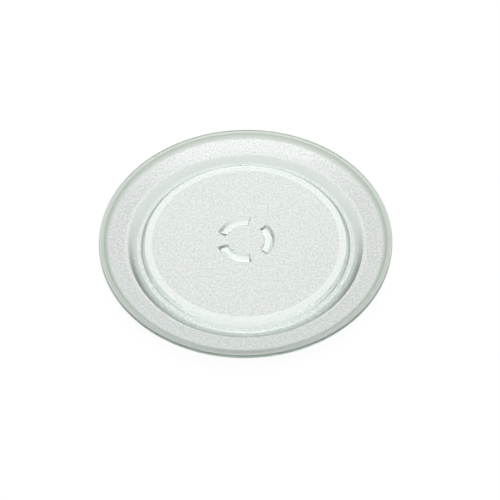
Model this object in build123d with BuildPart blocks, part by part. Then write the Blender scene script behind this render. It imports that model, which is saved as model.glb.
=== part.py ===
"""A round pressed-glass turntable tray for a microwave oven, made as one piece.

The tray stands on three low pads under its foot ring. Its frame has the origin on the axis at the
level of the pads, with +Z up, and all sizes are in millimetres.
"""

import os

from build123d import *

# Overall size and base plate
tray_diameter = 360.0
base_thickness = 5.0

# Foot ring below the base, which keeps the rollers in
foot_depth = 8.0
foot_inner_run = 4.8
foot_flat_width = 5.3
foot_outer_run = 10.0
foot_shoulder_drop = 1.0  # the flange's underside starts this far below the base's underside
foot_edge_radius = 1.0
foot_root_radius = 1.0

# Flange that climbs from the base to the lip
flange_width = 19.5
flange_rise = 6.3
flange_top_offset = 3.0  # the flange's upper face starts this far outside the foot ring
flange_toe_radius = 15.0
flange_root_radius = 2.0

# Thick lip round the edge, whose underside runs on from the flange
lip_width = 12.0
lip_inner_run = 5.5
lip_height = 5.6
lip_outer_height = 5.5
lip_inner_radius = 3.0
lip_crest_radius = 2.0
lip_edge_radius = 2.0

# Three drive lugs under the middle, which the oven's coupling turns
lug_count = 3
lug_height = 6.5
lug_root_inner_radius = 23.0
lug_root_outer_radius = 36.3
lug_tip_inner_radius = 26.6
lug_tip_outer_radius = 31.9
lug_root_arc = 82.0
lug_tip_arc = 76.0
lug_edge_radius = 0.8

# Three standing pads under the foot ring
pad_count = 3
pad_start_angle = 90.0
pad_turn = 90.0  # each pad's long side lies along the ring
pad_length = 11.0
pad_width = 4.0
pad_height = 1.0
pad_root = 1.0  # the pads reach this far up into the foot ring
pad_edge_radius = 0.5

# Levels and radii that follow from the sizes above
foot_level = pad_height
underside_level = foot_level + foot_depth
base_level = underside_level + base_thickness
lip_foot_level = base_level + flange_rise
crest_level = lip_foot_level + lip_height
lip_under_level = crest_level - lip_outer_height
shoulder_level = underside_level - foot_shoulder_drop

tray_radius = tray_diameter / 2
lip_foot_radius = tray_radius - lip_width
crest_radius = lip_foot_radius + lip_inner_run
flange_radius = lip_foot_radius - flange_width
shoulder_radius = flange_radius - flange_top_offset
foot_outer_radius = shoulder_radius - foot_outer_run
foot_inner_radius = foot_outer_radius - foot_flat_width
track_radius = foot_inner_radius - foot_inner_run  # rollers run under the base out to here
pad_circle_radius = (foot_inner_radius + foot_outer_radius) / 2

# Corners of the section, from the axis on top round the lip to the axis below, with their roundings
section_corners = [
    ((flange_radius, base_level), flange_toe_radius),
    ((lip_foot_radius, lip_foot_level), lip_inner_radius),
    ((crest_radius, crest_level), lip_crest_radius),
    ((tray_radius, crest_level), lip_edge_radius),
    ((tray_radius, lip_under_level), lip_edge_radius),
    ((shoulder_radius, shoulder_level), flange_root_radius),
    ((foot_outer_radius, foot_level), foot_edge_radius),
    ((foot_inner_radius, foot_level), foot_edge_radius),
    ((track_radius, underside_level), foot_root_radius),
]

# A lug's plan at its root and at its tip: level, inner and outer radius, and arc
lug_plans = [
    (underside_level, lug_root_inner_radius, lug_root_outer_radius, lug_root_arc),
    (underside_level - lug_height, lug_tip_inner_radius, lug_tip_outer_radius, lug_tip_arc),
]

with BuildPart() as lug:
    for level, inner_radius, outer_radius, arc in lug_plans:
        with BuildSketch(Plane.XY.offset(level)):
            with BuildLine():
                inner = CenterArc((0, 0), inner_radius, -arc / 2, arc)
                outer = CenterArc((0, 0), outer_radius, -arc / 2, arc)
                Line(inner @ 0, outer @ 0)
                Line(inner @ 1, outer @ 1)
            make_face()
    loft(ruled=True)
    fillet(lug.faces().sort_by(Axis.Z)[0].edges(), lug_edge_radius)

with BuildPart() as tray:
    with BuildSketch(Plane.XZ) as section:
        with BuildLine():
            corners = [corner for corner, rounding in section_corners]
            Polyline((0, base_level), *corners, (0, underside_level), close=True)
        make_face()
        for corner, rounding in section_corners:
            fillet(section.vertices().sort_by_distance(corner)[0], rounding)
    revolve(axis=Axis.Z)

    with PolarLocations(0, lug_count):
        add(lug.part)

    with BuildSketch():
        with PolarLocations(pad_circle_radius, pad_count, start_angle=pad_start_angle):
            SlotOverall(pad_length, pad_width, rotation=pad_turn)
    extrude(amount=pad_height + pad_root)
    fillet(tray.faces().sort_by(Axis.Z)[:pad_count].edges(), pad_edge_radius)

tray.part.label = "glass_tray"

os.makedirs("parts", exist_ok=True)
export_step(tray.part, "parts/glass_tray.step")
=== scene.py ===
"""Looks of a round pressed-glass turntable tray for a microwave oven.

The tray is one closed skin of clear, faintly green glass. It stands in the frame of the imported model, in
metres, with the origin on its axis at the level of its standing pads and +Z up.
"""

import logging
import math
from dataclasses import dataclass, field
from enum import Enum, IntEnum, auto

import bpy
import numpy as np
from mathutils import Matrix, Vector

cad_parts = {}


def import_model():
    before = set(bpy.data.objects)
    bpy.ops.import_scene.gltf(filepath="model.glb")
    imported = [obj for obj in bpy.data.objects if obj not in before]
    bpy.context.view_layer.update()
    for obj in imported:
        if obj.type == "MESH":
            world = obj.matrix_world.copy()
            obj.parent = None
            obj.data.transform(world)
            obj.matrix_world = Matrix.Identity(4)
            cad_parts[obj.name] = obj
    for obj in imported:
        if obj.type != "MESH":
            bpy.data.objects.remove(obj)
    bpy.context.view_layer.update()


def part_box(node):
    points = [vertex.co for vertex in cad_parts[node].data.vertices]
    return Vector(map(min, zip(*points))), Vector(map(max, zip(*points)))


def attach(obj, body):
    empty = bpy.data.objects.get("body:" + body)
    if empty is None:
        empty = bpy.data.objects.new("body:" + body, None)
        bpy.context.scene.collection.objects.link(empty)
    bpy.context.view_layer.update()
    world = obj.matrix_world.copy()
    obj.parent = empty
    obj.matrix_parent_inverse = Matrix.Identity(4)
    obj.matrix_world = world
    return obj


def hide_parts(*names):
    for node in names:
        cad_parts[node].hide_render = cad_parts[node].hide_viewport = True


NODE = "glass_tray"
BODY = "root"
FULL_TURN = 360.0

Colour = tuple[float, float, float, float]

log = logging.getLogger("tray")


class Ray(Enum):
    """The kinds of ray that the stage can tell apart, by their Light Path output."""

    CAMERA = "Is Camera Ray"
    GLOSSY = "Is Glossy Ray"
    TRANSMISSION = "Is Transmission Ray"


class Share(Enum):
    """What the skin stores on its points for the glass to read, by attribute name."""

    STIPPLE = "stipple"
    MOULD = "mould"
    DEPTH = "painted_shade"


class Corner(IntEnum):
    """The section's rounded corners in order, from the flange's toe over the lip to the roller track."""

    FLANGE_TOE = 0
    LIP_FOOT = auto()
    CREST_INNER = auto()
    CREST_OUTER = auto()
    LIP_NOSE = auto()
    SHOULDER = auto()
    FOOT_OUTER = auto()
    FOOT_INNER = auto()
    TRACK = auto()


class MixSocket(IntEnum):
    """The places of a Mix node's colour sockets: three inputs, and then the output."""

    SHARE = 0
    FIRST = 6
    SECOND = 7
    RESULT = 2


class Term:
    """A shader value that takes part in Python expressions: each operation adds one Math node."""

    def __init__(self, graph: "Graph", socket: bpy.types.NodeSocket) -> None:
        """Wrap one output socket of a graph."""
        self.graph = graph
        self.socket = socket

    def _math(self, operation: str, *values: "Term | float") -> "Term":
        """Add a Math node.

        Args:
            operation: The node's operation.
            values: Its inputs, in order.

        Returns:
            The node's result.
        """
        node = self.graph.node("ShaderNodeMath", {"operation": operation}, dict(enumerate(values)))
        return self.graph.term(node)

    def __add__(self, other: "Term | float") -> "Term":
        """This value plus another."""
        return self._math("ADD", self, other)

    def __sub__(self, other: "Term | float") -> "Term":
        """This value less another."""
        return self._math("SUBTRACT", self, other)

    def __rsub__(self, other: float) -> "Term":
        """A number less this value."""
        return self._math("SUBTRACT", other, self)

    def __mul__(self, other: "Term | float") -> "Term":
        """This value times another."""
        return self._math("MULTIPLY", self, other)

    __radd__ = __add__
    __rmul__ = __mul__

    def most(self, other: "Term | float") -> "Term":
        """The larger of this value and another."""
        return self._math("MAXIMUM", self, other)

    def least(self, other: "Term | float") -> "Term":
        """The smaller of this value and another."""
        return self._math("MINIMUM", self, other)


class Graph:
    """A node tree that is cleared and then filled by short calls."""

    def __init__(self, tree: bpy.types.NodeTree) -> None:
        """Clear the tree and keep it."""
        tree.nodes.clear()
        self.tree = tree

    def node(self, kind: str, settings: dict[str, object] | None = None,
             inputs: dict[str | int, object] | None = None) -> bpy.types.Node:
        """Add one node.

        Args:
            kind: The node's type.
            settings: Its own properties, set first.
            inputs: Values, sockets or terms for its inputs, by name or index.

        Returns:
            The new node.
        """
        node = self.tree.nodes.new(kind)
        for name, value in (settings or {}).items():
            setattr(node, name, value)
        for name, value in (inputs or {}).items():
            value = value.socket if isinstance(value, Term) else value
            if isinstance(value, bpy.types.NodeSocket):
                self.tree.links.new(value, node.inputs[name])
            else:
                node.inputs[name].default_value = value
        return node

    def term(self, node: bpy.types.Node, output: str | int = 0) -> Term:
        """One output of a node, ready for expressions."""
        return Term(self, node.outputs[output])

    def attribute(self, share: Share) -> Term:
        """One of the numbers that the skin stores on its points."""
        return self.term(self.node("ShaderNodeAttribute", {"attribute_name": share.value}), "Fac")

    def blend(self, share: Term, first: bpy.types.NodeSocket | Colour,
              second: bpy.types.NodeSocket | Colour) -> bpy.types.NodeSocket:
        """Mix two colours.

        Args:
            share: How much of the second colour shows.
            first: The colour at a share of 0.
            second: The colour at a share of 1.

        Returns:
            The mixed colour.
        """
        inputs = {MixSocket.SHARE: share, MixSocket.FIRST: first, MixSocket.SECOND: second}
        return self.node("ShaderNodeMix", {"data_type": "RGBA"}, inputs).outputs[MixSocket.RESULT]

    def ramp(self, value: Term | bpy.types.NodeSocket, low: float, high: float,
             least: float = 0.0, most: float = 1.0) -> Term:
        """A smooth step from one level to another.

        Args:
            value: What the step runs along.
            low: Where the step starts.
            high: Where it ends.
            least: The level up to its start.
            most: The level from its end.

        Returns:
            The stepped level.
        """
        return self.term(self.node("ShaderNodeMapRange", {"interpolation_type": "SMOOTHSTEP"}, {
            "Value": value, "From Min": low, "From Max": high, "To Min": least, "To Max": most}))


def grey(level: float) -> Colour:
    """An opaque neutral colour."""
    return (level, level, level, 1.0)


def mesh_object(name: str, points: np.ndarray, faces: list[np.ndarray]) -> bpy.types.Object:
    """Put a worked-out surface into a smooth mesh object at the origin.

    Args:
        name: The object's name.
        points: Vertices, one row each.
        faces: Arrays of vertex indices, one row for each face.

    Returns:
        The object, in the scene.
    """
    mesh = bpy.data.meshes.new(name)
    mesh.from_pydata(points.tolist(), [], [row for block in faces for row in block.tolist()])
    mesh.polygons.foreach_set("use_smooth", np.ones(len(mesh.polygons), bool))
    mesh.update()
    piece = bpy.data.objects.new(name, mesh)
    bpy.context.scene.collection.objects.link(piece)
    return piece


@dataclass(frozen=True)
class GlassFinish:
    """Clear pressed glass with a faint green body and a stippled underside.

    Three shares on the skin's points say how far it is stippled, whether it keeps the mould's dull surface,
    and how much painted shade it shows.
    """

    ior: float = 1.5
    body_colour: Colour = (0.50, 0.68, 0.56, 1.0)
    body_density: float = 21.0
    clear_colour: Colour = (0.868, 0.89, 0.88, 1.0)
    # painted shade: a dark green that stands in for the shade that internal reflection gives the lip, walls,
    # track and lugs
    shade_colour: Colour = (0.36, 0.43, 0.335, 1.0)
    mould_roughness: float = 0.30
    stipple_colour: Colour = (0.555, 0.580, 0.565, 1.0)
    stipple_pitch: float = 0.0028
    stipple_detail: float = 1.0
    stipple_height: float = 0.0001
    speck_from: float = 0.30
    speck_full: float = 0.70
    speck_contrast: float = 0.28
    speck_gain: float = 5.0  # specks have their full contrast from a stipple of one part in this many

    def material(self) -> bpy.types.Material:
        """Make the glass.

        The surface goes from clear to the stipple's colour with the stipple's share, is darkened by specks
        of noise, and goes on to the painted shade, a dark green, with its share. The same noise raises a
        small bump.
        The mould's share makes the surface dull where it isn't stippled.

        Returns:
            The material.
        """
        material = bpy.data.materials.new("pressed_glass")
        material.use_nodes = True
        graph = Graph(material.node_tree)
        stipple = graph.attribute(Share.STIPPLE)
        mould = graph.attribute(Share.MOULD)
        painted_shade = graph.attribute(Share.DEPTH)
        place = graph.node("ShaderNodeTexCoord").outputs["Object"]
        grain = graph.term(graph.node("ShaderNodeTexNoise", {"noise_dimensions": "2D"}, {
            "Vector": place, "Scale": 1.0 / self.stipple_pitch, "Detail": self.stipple_detail}), "Fac")
        bump = graph.node("ShaderNodeBump", inputs={
            "Strength": 1.0, "Distance": self.stipple_height, "Height": stipple * grain})
        specks = graph.ramp(grain, self.speck_from, self.speck_full)
        speckled = (stipple * self.speck_gain).least(1.0)
        surface = graph.blend(stipple, self.clear_colour, self.stipple_colour)
        surface = graph.blend(specks * speckled * self.speck_contrast, surface, grey(0.0))
        glass = graph.node("ShaderNodeBsdfPrincipled", inputs={
            # painted shade: the rings' shade share mixes the dark green into the glass's colour
            "Base Color": graph.blend(painted_shade, surface, self.shade_colour),
            "Roughness": mould * (1.0 - stipple) * self.mould_roughness,
            "IOR": self.ior,
            "Transmission Weight": 1.0,
            "Normal": bump.outputs["Normal"],
        })
        body = graph.node("ShaderNodeVolumeAbsorption", inputs={
            "Color": self.body_colour, "Density": self.body_density})
        graph.node("ShaderNodeOutputMaterial", inputs={
            "Surface": glass.outputs["BSDF"], "Volume": body.outputs["Volume"]})
        return material


@dataclass
class GlassTray:
    """The whole tray: base, foot ring with its pads, drive lugs, flange and lip, as one closed skin.

    The section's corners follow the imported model, and its reach and top level are read from it.
    """

    outer_radius: float
    crest_level: float

    # Base plate and foot ring
    base_thickness: float = 0.0050
    foot_depth: float = 0.0080
    foot_inner_run: float = 0.0048
    foot_flat_width: float = 0.0053
    foot_outer_run: float = 0.0100
    foot_shoulder_drop: float = 0.0010
    foot_edge_rounding: float = 0.0010
    foot_root_rounding: float = 0.0010

    # Flange and lip
    flange_width: float = 0.0195
    flange_top_offset: float = 0.0030
    flange_toe_rounding: float = 0.0150
    flange_root_rounding: float = 0.0020
    lip_width: float = 0.0120
    lip_inner_run: float = 0.0055
    lip_height: float = 0.0056
    lip_outer_height: float = 0.0055
    lip_inner_rounding: float = 0.0030
    lip_crest_rounding: float = 0.0020
    lip_edge_rounding: float = 0.0020

    # Drive lugs, with their arcs in degrees
    lug_count: int = 3
    lug_height: float = 0.0065
    lug_root_inner: float = 0.0230
    lug_root_outer: float = 0.0363
    lug_tip_inner: float = 0.0266
    lug_tip_outer: float = 0.0319
    lug_root_arc: float = 82.0
    lug_tip_arc: float = 76.0
    lug_edge_share: float = 0.14

    # Standing pads, the first at an angle in degrees
    pad_count: int = 3
    pad_start_angle: float = 90.0
    pad_length: float = 0.0110
    pad_width: float = 0.0040
    pad_height: float = 0.0010
    pad_edge: float = 0.0006

    # How far the underside is stippled, and where
    stipple_base_radius: float = 0.1162
    stipple_base_share: float = 1.0
    stipple_track_share: float = 0.10
    stipple_foot_share: float = 0.27
    stipple_shoulder_share: float = 0.85
    stipple_shoulder_fade: float = 0.0040
    stipple_flange_share: float = 0.28
    stipple_flange_outer: float = 0.1750

    # How much painted shade, a dark green in the glass's colour, each band shows, and where the lip's
    # painted shade starts
    lip_shade_offset: float = 0.0010
    lip_slope_shade: float = 1.0
    lip_crest_shade: float = 0.65
    lip_under_shade: float = 0.40
    lip_nose_shade: float = 0.15
    wall_shade: float = 0.60
    track_shade: float = 0.30
    lug_wall_shade: float = 0.30
    pad_rim_shade: float = 0.80

    # The skin's rings, in metres and in shares of a lug's wall and a pad's edge
    arc_steps: int = 7
    ring_step: float = 0.0080
    long_run: float = 0.0012  # a straight run longer than this has a ring close to each of its ends
    support: float = 0.0003
    ring_digits: int = 6
    lug_wall_rings: tuple[float, ...] = (-0.06, 0.0, 0.06, 0.3, 0.6, 0.8, 0.88, 0.94, 1.0, 1.06, 1.14)
    pad_edge_rings: tuple[float, ...] = (0.0, 0.3, 0.6, 0.9, 1.4)

    # The skin's columns, in degrees
    column_step: float = 1.0
    lug_end_step: float = 0.25
    pad_step: float = 0.2
    close_reach: float = 3.0  # the columns are closer this far on both sides of a lug's end or a pad
    column_digits: int = 4

    finish: GlassFinish = field(default_factory=GlassFinish)

    def __post_init__(self) -> None:
        """Work out the levels and radii that follow from the sizes."""
        self.foot_level = self.pad_height
        self.underside = self.foot_level + self.foot_depth
        self.base_level = self.underside + self.base_thickness
        self.shoulder_level = self.underside - self.foot_shoulder_drop
        self.lip_foot_level = self.crest_level - self.lip_height
        self.lip_nose_level = self.crest_level - self.lip_outer_height
        self.lip_foot_radius = self.outer_radius - self.lip_width
        self.crest_radius = self.lip_foot_radius + self.lip_inner_run
        self.flange_radius = self.lip_foot_radius - self.flange_width
        self.shoulder_radius = self.flange_radius - self.flange_top_offset
        self.foot_outer_radius = self.shoulder_radius - self.foot_outer_run
        self.foot_inner_radius = self.foot_outer_radius - self.foot_flat_width
        self.track_radius = self.foot_inner_radius - self.foot_inner_run
        self.pad_radius = (self.foot_inner_radius + self.foot_outer_radius) / 2

    def corners(self) -> np.ndarray:
        """The section's corners in order.

        Returns:
            Rows of radius, level and rounding.
        """
        corners = {
            Corner.FLANGE_TOE: (self.flange_radius, self.base_level, self.flange_toe_rounding),
            Corner.LIP_FOOT: (self.lip_foot_radius, self.lip_foot_level, self.lip_inner_rounding),
            Corner.CREST_INNER: (self.crest_radius, self.crest_level, self.lip_crest_rounding),
            Corner.CREST_OUTER: (self.outer_radius, self.crest_level, self.lip_edge_rounding),
            Corner.LIP_NOSE: (self.outer_radius, self.lip_nose_level, self.lip_edge_rounding),
            Corner.SHOULDER: (self.shoulder_radius, self.shoulder_level, self.flange_root_rounding),
            Corner.FOOT_OUTER: (self.foot_outer_radius, self.foot_level, self.foot_edge_rounding),
            Corner.FOOT_INNER: (self.foot_inner_radius, self.foot_level, self.foot_edge_rounding),
            Corner.TRACK: (self.track_radius, self.underside, self.foot_root_rounding),
        }
        return np.array([corners[corner] for corner in Corner])

    def outline(self) -> np.ndarray:
        """The section as a polyline with its corners rounded.

        At each corner the arc's centre lies on the bisector at rounding / sin(half angle), and the arc runs
        between the two points at rounding / tan(half angle) along the sides.

        Returns:
            Rows of radius and level, from the axis on top to the axis below.
        """
        corners = self.corners()
        ends = np.array([(0.0, self.base_level)]), np.array([(0.0, self.underside)])
        path = np.concatenate([ends[0], corners[:, :2], ends[1]])
        rounding = corners[:, 2:3]
        back, ahead = path[:-2] - path[1:-1], path[2:] - path[1:-1]
        back /= np.linalg.norm(back, axis=1, keepdims=True)
        ahead /= np.linalg.norm(ahead, axis=1, keepdims=True)
        half = np.arccos(np.clip((back * ahead).sum(1, keepdims=True), -1, 1)) / 2
        bisector = (back + ahead) / np.linalg.norm(back + ahead, axis=1, keepdims=True)
        centre = path[1:-1] + bisector * rounding / np.sin(half)
        start = path[1:-1] + back * rounding / np.tan(half) - centre
        stop = path[1:-1] + ahead * rounding / np.tan(half) - centre
        first = np.arctan2(start[:, 1], start[:, 0])
        sweep = np.arctan2(stop[:, 1], stop[:, 0]) - first
        sweep = (sweep + math.pi) % (2 * math.pi) - math.pi
        angle = first[:, None] + sweep[:, None] * np.linspace(0, 1, self.arc_steps + 1)
        arcs = centre[:, None, :] + rounding[:, None] * np.stack([np.cos(angle), np.sin(angle)], -1)
        return np.concatenate([ends[0], arcs.reshape(-1, 2), ends[1]])

    def _arc_end(self, corner: Corner) -> int:
        """The place in the outline of the last point of a corner's arc."""
        return 1 + corner * (self.arc_steps + 1) + self.arc_steps

    def _edge_radii(self) -> dict[Corner, np.ndarray]:
        """The radii of the rings at the edges of the stippled fields, the pads and the lugs.

        Returns:
            Radii on the straight runs that follow three of the section's corners.
        """
        pad_half = self.pad_width / 2
        pad_edges = pad_half - np.array(self.pad_edge_rings) * self.pad_edge
        across = np.concatenate([[0.0, pad_half / 2], pad_edges])
        wall = np.array(self.lug_wall_rings)
        return {
            Corner.LIP_NOSE: np.array([
                self.shoulder_radius + self.stipple_shoulder_fade,
                self.stipple_flange_outer,
                self.stipple_flange_outer + self.support]),
            Corner.FOOT_OUTER: self.pad_radius + np.concatenate([-across, across]),
            Corner.TRACK: np.concatenate([
                self.lug_root_inner + wall * (self.lug_tip_inner - self.lug_root_inner),
                self.lug_root_outer + wall * (self.lug_tip_outer - self.lug_root_outer),
                [self.stipple_base_radius, self.stipple_base_radius + self.support]]),
        }

    def stations(self) -> tuple[np.ndarray, np.ndarray, np.ndarray]:
        """Where the skin's rings lie along the section.

        The rings stand at every point of the outline, close beside the ends of its straight runs so that
        flat faces shade flat, at even steps all along it, and at the edges of the stippled fields, the pads
        and the lugs.

        Returns:
            Each ring's radius and level, and whether it faces the floor.
        """
        outline = self.outline()
        length = np.concatenate([[0.0], np.cumsum(np.linalg.norm(np.diff(outline, axis=0), axis=1))])
        runs = np.diff(length) > self.long_run
        marks = [length, length[:-1][runs] + self.support, length[1:][runs] - self.support]
        marks.append(np.arange(0.0, length[-1], self.ring_step))
        for corner, radii in self._edge_radii().items():
            outer = self._arc_end(corner)
            run = [outer + 1, outer]
            marks.append(np.interp(radii, outline[run, 0], length[run]))
        place = np.unique(np.round(np.concatenate(marks), self.ring_digits))
        place = place[(place > self.support) & (place < length[-1] - self.support)]
        radius = np.interp(place, length, outline[:, 0])
        level = np.interp(place, length, outline[:, 1])
        below = place > length[self._arc_end(Corner.LIP_NOSE)]
        return radius, level, below

    def _around(self, angles: np.ndarray, step: float) -> np.ndarray:
        """Close steps on both sides of each angle."""
        steps = np.arange(-self.close_reach, self.close_reach + step / 2, step)
        return (angles[:, None] + steps).ravel()

    def columns(self) -> np.ndarray:
        """Where the skin's columns stand: at even angles, and closer at the lugs' ends and at the pads.

        A lug's end counts as halfway between its root and its tip.

        Returns:
            Angles about the axis in radians, in order.
        """
        even = np.arange(0.0, FULL_TURN, self.column_step)
        lugs = np.arange(self.lug_count) * FULL_TURN / self.lug_count
        lug_half = (self.lug_root_arc + self.lug_tip_arc) / 4
        lug_ends = self._around(np.concatenate([lugs - lug_half, lugs + lug_half]), self.lug_end_step)
        pads = self.pad_start_angle + np.arange(self.pad_count) * FULL_TURN / self.pad_count
        columns = np.concatenate([even, lug_ends, self._around(pads, self.pad_step)]) % FULL_TURN
        return np.radians(np.unique(np.round(columns, self.column_digits)))

    @staticmethod
    def _off_nearest(angle: np.ndarray, count: int, start: float = 0.0) -> np.ndarray:
        """How far angles lie from the nearest of a count of evenly spaced ones, the first at the start."""
        pitch = 2 * math.pi / count
        return np.abs((angle - start + pitch / 2) % pitch - pitch / 2)

    def lug_drop(self, radius: np.ndarray, angle: np.ndarray) -> np.ndarray:
        """How far the drive lugs stand below the underside.

        Each wall's share of the full height grows evenly from its root to its tip. The lowest share of the
        four walls counts, and its last part bends over into the flat tip as a parabola.

        Args:
            radius: Distances from the axis.
            angle: Angles about the axis.

        Returns:
            Heights, zero outside the lugs.
        """
        off = np.degrees(self._off_nearest(angle, self.lug_count))
        inner = (radius - self.lug_root_inner) / (self.lug_tip_inner - self.lug_root_inner)
        outer = (self.lug_root_outer - radius) / (self.lug_root_outer - self.lug_tip_outer)
        end = (self.lug_root_arc / 2 - off) / ((self.lug_root_arc - self.lug_tip_arc) / 2)
        share = np.minimum(np.minimum(inner, outer), end)
        bend = self.lug_edge_share
        past = np.clip(share - (1 - bend), 0, 2 * bend)
        rounded = np.minimum(share, 1 - bend) + past - past ** 2 / (4 * bend)
        return self.lug_height * np.clip(rounded, 0, 1)

    def pad_drop(self, radius: np.ndarray, angle: np.ndarray) -> np.ndarray:
        """How far the standing pads stand below the foot ring.

        A pad is the set of points within half its width of a short line along the ring. Its height grows
        over a narrow edge as a quarter of a sine wave.

        Args:
            radius: Distances from the axis.
            angle: Angles about the axis.

        Returns:
            Heights, zero outside the pads.
        """
        off = self._off_nearest(angle, self.pad_count, math.radians(self.pad_start_angle))
        beyond = np.maximum(self.pad_radius * off - (self.pad_length - self.pad_width) / 2, 0)
        inside = self.pad_width / 2 - np.hypot(beyond, radius - self.pad_radius)
        return self.pad_height * np.sin(np.clip(inside / self.pad_edge, 0, 1) * math.pi / 2)

    def stipple(self, radius: np.ndarray, below: np.ndarray) -> np.ndarray:
        """How far each ring is stippled: evenly on each field, but fading outwards from the shoulder.

        Args:
            radius: The rings' radii.
            below: Whether each ring faces the floor.

        Returns:
            Shares from 0, smooth, to 1.
        """
        base = radius < self.stipple_base_radius + self.support / 2
        track = radius < self.track_radius
        foot = (radius > self.foot_inner_radius) & (radius < self.foot_outer_radius)
        flange = (radius > self.shoulder_radius) & (radius < self.stipple_flange_outer + self.support / 2)
        near = 1 - np.clip((radius - self.shoulder_radius) / self.stipple_shoulder_fade, 0, 1)
        more = near * (self.stipple_shoulder_share - self.stipple_flange_share)
        shares = [self.stipple_base_share, self.stipple_track_share, self.stipple_foot_share,
                  self.stipple_flange_share + more]
        return np.where(below, np.select([base, track, foot, flange], shares, 0.0), 0.0)

    def mould(self, radius: np.ndarray, below: np.ndarray) -> np.ndarray:
        """Which rings keep the mould's dull surface: the foot ring, the flange's underside and the lip.

        Args:
            radius: The rings' radii.
            below: Whether each ring faces the floor.

        Returns:
            1 on those rings and 0 elsewhere.
        """
        return (below & (radius > self.track_radius) | (radius > self.lip_foot_radius)).astype(float)

    def painted_shade(self, radius: np.ndarray, below: np.ndarray) -> np.ndarray:
        """How much painted shade each ring shows: a dark green in the glass's colour that stands in for the
        shade of internal reflection.

        It is strongest on the lip's inner slope, and weaker on the rest of the lip, on the foot ring's
        outer wall and on the roller track.

        Args:
            radius: The rings' radii.
            below: Whether each ring faces the floor.

        Returns:
            Shares from 0 to 1.
        """
        wall = below & (radius > self.foot_outer_radius) & (radius < self.shoulder_radius)
        lip = radius > self.lip_foot_radius + self.lip_shade_offset
        slope = lip & ~below & (radius < self.crest_radius)
        nose = radius > self.outer_radius - self.lip_edge_rounding
        track = below & (radius > self.stipple_base_radius + self.support / 2) & (radius < self.track_radius)
        # painted shade on each band, from the lip to the roller track
        painted_shades = [self.wall_shade, self.lip_slope_shade, self.lip_nose_shade, self.lip_under_shade,
                  self.lip_crest_shade, self.track_shade]
        return np.select([wall, slope, nose, lip & below, lip, track], painted_shades, 0.0)

    def shares(self, radius: np.ndarray, below: np.ndarray, drop: np.ndarray) -> dict[Share, np.ndarray]:
        """What the glass reads at each point of the skin.

        The rings' own shares hold, but the lugs and pads are smooth, the lugs' walls are dull, and the lugs'
        walls and the pads' rims have a painted shade of their own.

        Args:
            radius: The rings' radii.
            below: Whether each ring faces the floor.
            drop: How far each point is let down for a lug or a pad.

        Returns:
            Each share, with one row for each ring.
        """
        raised = drop > 0
        inside = (radius < self.stipple_base_radius)[:, None]
        tip = drop > (1 - self.lug_edge_share) * self.lug_height
        wall = raised & inside & ~tip
        rim = raised & ~inside & (drop < self.pad_height)
        painted_shade = self.painted_shade(radius, below)[:, None]
        return {
            Share.STIPPLE: np.where(raised, 0.0, self.stipple(radius, below)[:, None]),
            Share.MOULD: np.where(wall, 1.0, self.mould(radius, below)[:, None]),
            # painted shade of their own on the lugs' walls and the pads' rims
            Share.DEPTH: np.select([wall, rim], [self.lug_wall_shade, self.pad_rim_shade], painted_shade),
        }

    @staticmethod
    def faces(rings: int, count: int) -> list[np.ndarray]:
        """Join neighbouring rings by quads, and the first and last ring to its pole by triangles.

        Args:
            rings: How many rings the skin has.
            count: How many points each ring has.

        Returns:
            Vertex indices of the quads, the upper fan and the lower fan.
        """
        around = np.arange(count)
        ahead = (around + 1) % count
        ring = np.arange(rings - 1)[:, None] * count
        after = ring + count
        quads = np.stack([ring + around, after + around, after + ahead, ring + ahead], -1).reshape(-1, 4)
        upper_pole = rings * count
        last = upper_pole - count
        top = np.stack([np.full(count, upper_pole), around, ahead], -1)
        bottom = np.stack([np.full(count, upper_pole + 1), last + ahead, last + around], -1)
        return [quads, top, bottom]

    def build(self) -> bpy.types.Object:
        """Carry the section round the axis, with the lugs and pads let down from it, and dress the skin.

        Returns:
            The finished piece, with its three shares as point attributes.
        """
        radius, level, below = self.stations()
        far, turn = np.meshgrid(radius, self.columns(), indexing="ij")
        drop = np.where(below[:, None], self.lug_drop(far, turn) + self.pad_drop(far, turn), 0.0)
        skin = np.stack([far * np.cos(turn), far * np.sin(turn), level[:, None] - drop], -1)
        poles = np.array([(0.0, 0.0, self.base_level), (0.0, 0.0, self.underside)])
        rings, count = drop.shape
        points = np.concatenate([skin.reshape(-1, 3), poles])
        piece = mesh_object("pressed_tray", points, self.faces(rings, count))
        for share, table in self.shares(radius, below, drop).items():
            values = np.concatenate([table.ravel(), table[[0, -1], 0]])
            attribute = piece.data.attributes.new(share.value, "FLOAT", "POINT")
            attribute.data.foreach_set("value", values.astype(np.float32))
        piece.data.materials.append(self.finish.material())
        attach(piece, BODY)
        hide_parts(NODE)
        log.info("%s: %d rings of %d columns, %d faces", piece.name, rings, count, len(piece.data.polygons))
        return piece


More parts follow.
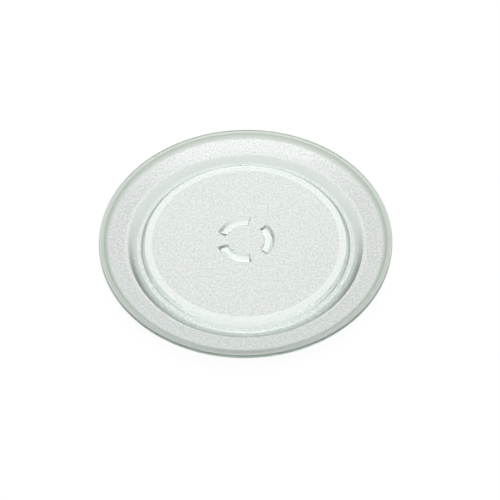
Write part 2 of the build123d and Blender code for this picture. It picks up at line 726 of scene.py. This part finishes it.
@dataclass
class Floor:
    """A plain white floor that keeps the tray's shadow."""

    radius: float = 12.0
    columns: int = 64
    colour: float = 0.94
    own_light: float = 0.92

    def build(self) -> bpy.types.Object:
        """A flat disc through the level of the pads, closed at its middle.

        Returns:
            The floor.
        """
        angle = np.linspace(0, 2 * math.pi, self.columns, endpoint=False)
        rim = self.radius * np.stack([np.cos(angle), np.sin(angle), np.zeros_like(angle)], -1)
        around = np.arange(self.columns)
        fan = np.stack([np.full(self.columns, self.columns), around, (around + 1) % self.columns], -1)
        floor = mesh_object("floor", np.concatenate([rim, np.zeros((1, 3))]), [fan])
        floor.data.materials.append(self.material())
        log.info("%s: radius %.2f m", floor.name, self.radius)
        return floor

    def material(self) -> bpy.types.Material:
        """Matt white, with a share of plain white for the rays that show the background.

        Returns:
            The material.
        """
        material = bpy.data.materials.new("floor_white")
        material.use_nodes = True
        graph = Graph(material.node_tree)
        paths = graph.node("ShaderNodeLightPath")
        seen = graph.term(paths, Ray.CAMERA.value).most(graph.term(paths, Ray.GLOSSY.value))
        seen = seen.most(graph.term(paths, Ray.TRANSMISSION.value))
        matt = graph.node("ShaderNodeBsdfDiffuse", inputs={"Color": grey(self.colour)})
        white = graph.node("ShaderNodeEmission", inputs={"Color": grey(1.0), "Strength": 1.0})
        mixed = graph.node("ShaderNodeMixShader", inputs={
            0: seen * self.own_light, 1: matt.outputs[0], 2: white.outputs[0]})
        graph.node("ShaderNodeOutputMaterial", inputs={"Surface": mixed.outputs[0]})
        return material


@dataclass
class Studio:
    """Soft light from above: a sky, bright overhead and dim low down, a glow at the back and a wide lamp.

    The glow's elevation and reach are in degrees. The sky's two bounds are heights on a sphere of radius 1.
    """

    zenith: float = 2.8
    horizon: float = 0.60
    dim_below: float = 0.78
    bright_from: float = 1.0
    glow: float = 2.5
    glow_elevation: float = 47.0
    glow_reach: float = 18.0
    lamp_size: float = 1.2
    lamp_height: float = 1.5
    lamp_power: float = 2.5

    def build(self) -> None:
        """Light the world and hang the lamp."""
        self._light_world()
        self._hang_lamp()
        log.info("studio: world %.2f to %.2f, glow %.2f, lamp %.1f W",
                 self.horizon, self.zenith, self.glow, self.lamp_power)

    def _light_world(self) -> None:
        """Light the world by height and by nearness to the glow, with plain white for the camera itself."""
        world = bpy.data.worlds.new("studio")
        world.use_nodes = True
        bpy.context.scene.world = world
        graph = Graph(world.node_tree)
        direction = graph.node("ShaderNodeTexCoord").outputs["Generated"]
        height = graph.node("ShaderNodeSeparateXYZ", inputs={0: direction}).outputs["Z"]
        sky = graph.ramp(height, self.dim_below, self.bright_from, self.horizon, self.zenith)
        rise = math.radians(self.glow_elevation)
        towards = graph.node("ShaderNodeVectorMath", {"operation": "DOT_PRODUCT"}, {
            0: direction, 1: (0.0, math.cos(rise), math.sin(rise))}).outputs["Value"]
        glow = graph.ramp(towards, math.cos(math.radians(self.glow_reach)), 1.0, 0.0, self.glow)
        seen = graph.term(graph.node("ShaderNodeLightPath"), Ray.CAMERA.value)
        strength = (sky + glow) * (1.0 - seen) + seen
        light = graph.node("ShaderNodeBackground", inputs={"Color": grey(1.0), "Strength": strength})
        graph.node("ShaderNodeOutputWorld", inputs={"Surface": light.outputs[0]})

    def _hang_lamp(self) -> None:
        """Hang a round lamp over the tray, facing down."""
        lamp = bpy.data.lights.new("soft_lamp", "AREA")
        lamp.shape = "DISK"
        lamp.size = self.lamp_size
        lamp.energy = self.lamp_power
        holder = bpy.data.objects.new("soft_lamp", lamp)
        holder.location = (0.0, 0.0, self.lamp_height)
        bpy.context.scene.collection.objects.link(holder)


@dataclass
class PhotoCamera:
    """The photograph's point of view, with its square frame in pixels and its angles in degrees."""

    distance: float = 1.150
    elevation: float = 50.7
    aim_level: float = 0.0072
    roll: float = 0.92
    frame_pixels: float = 500.0
    pixels_per_metre: float = 802.3
    aim_pixel_x: float = 245.55
    aim_pixel_y: float = 240.90
    sensor: float = 36.0

    def build(self) -> bpy.types.Object:
        """Stand the camera in front of the tray, looking down at its axis.

        Returns:
            The camera, made the scene's own.
        """
        lens = bpy.data.cameras.new("photo_camera")
        lens.sensor_width = self.sensor
        lens.lens = self.pixels_per_metre * self.distance * self.sensor / self.frame_pixels
        lens.shift_x = 0.5 - self.aim_pixel_x / self.frame_pixels
        lens.shift_y = self.aim_pixel_y / self.frame_pixels - 0.5
        camera = bpy.data.objects.new("photo_camera", lens)
        rise = math.radians(self.elevation)
        tilt = Matrix.Rotation(math.pi / 2 - rise, 4, "X")
        stand = tilt @ Matrix.Rotation(-math.radians(self.roll), 4, "Z")
        stand.translation = (
            0.0, -self.distance * math.cos(rise), self.aim_level + self.distance * math.sin(rise))
        camera.matrix_world = stand
        bpy.context.scene.collection.objects.link(camera)
        bpy.context.scene.camera = camera
        log.info("camera: %.1f mm lens, %.1f degrees up", lens.lens, self.elevation)
        return camera


def main() -> None:
    """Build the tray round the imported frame, then the stage, the light and the camera."""
    logging.basicConfig(level=logging.INFO, format="%(name)s: %(message)s")
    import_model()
    bpy.context.scene.view_settings.view_transform = "Standard"
    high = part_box(NODE)[1]
    GlassTray(outer_radius=high.x, crest_level=high.z).build()
    Floor().build()
    Studio().build()
    PhotoCamera().build()


if __name__ == "__main__":
    main()
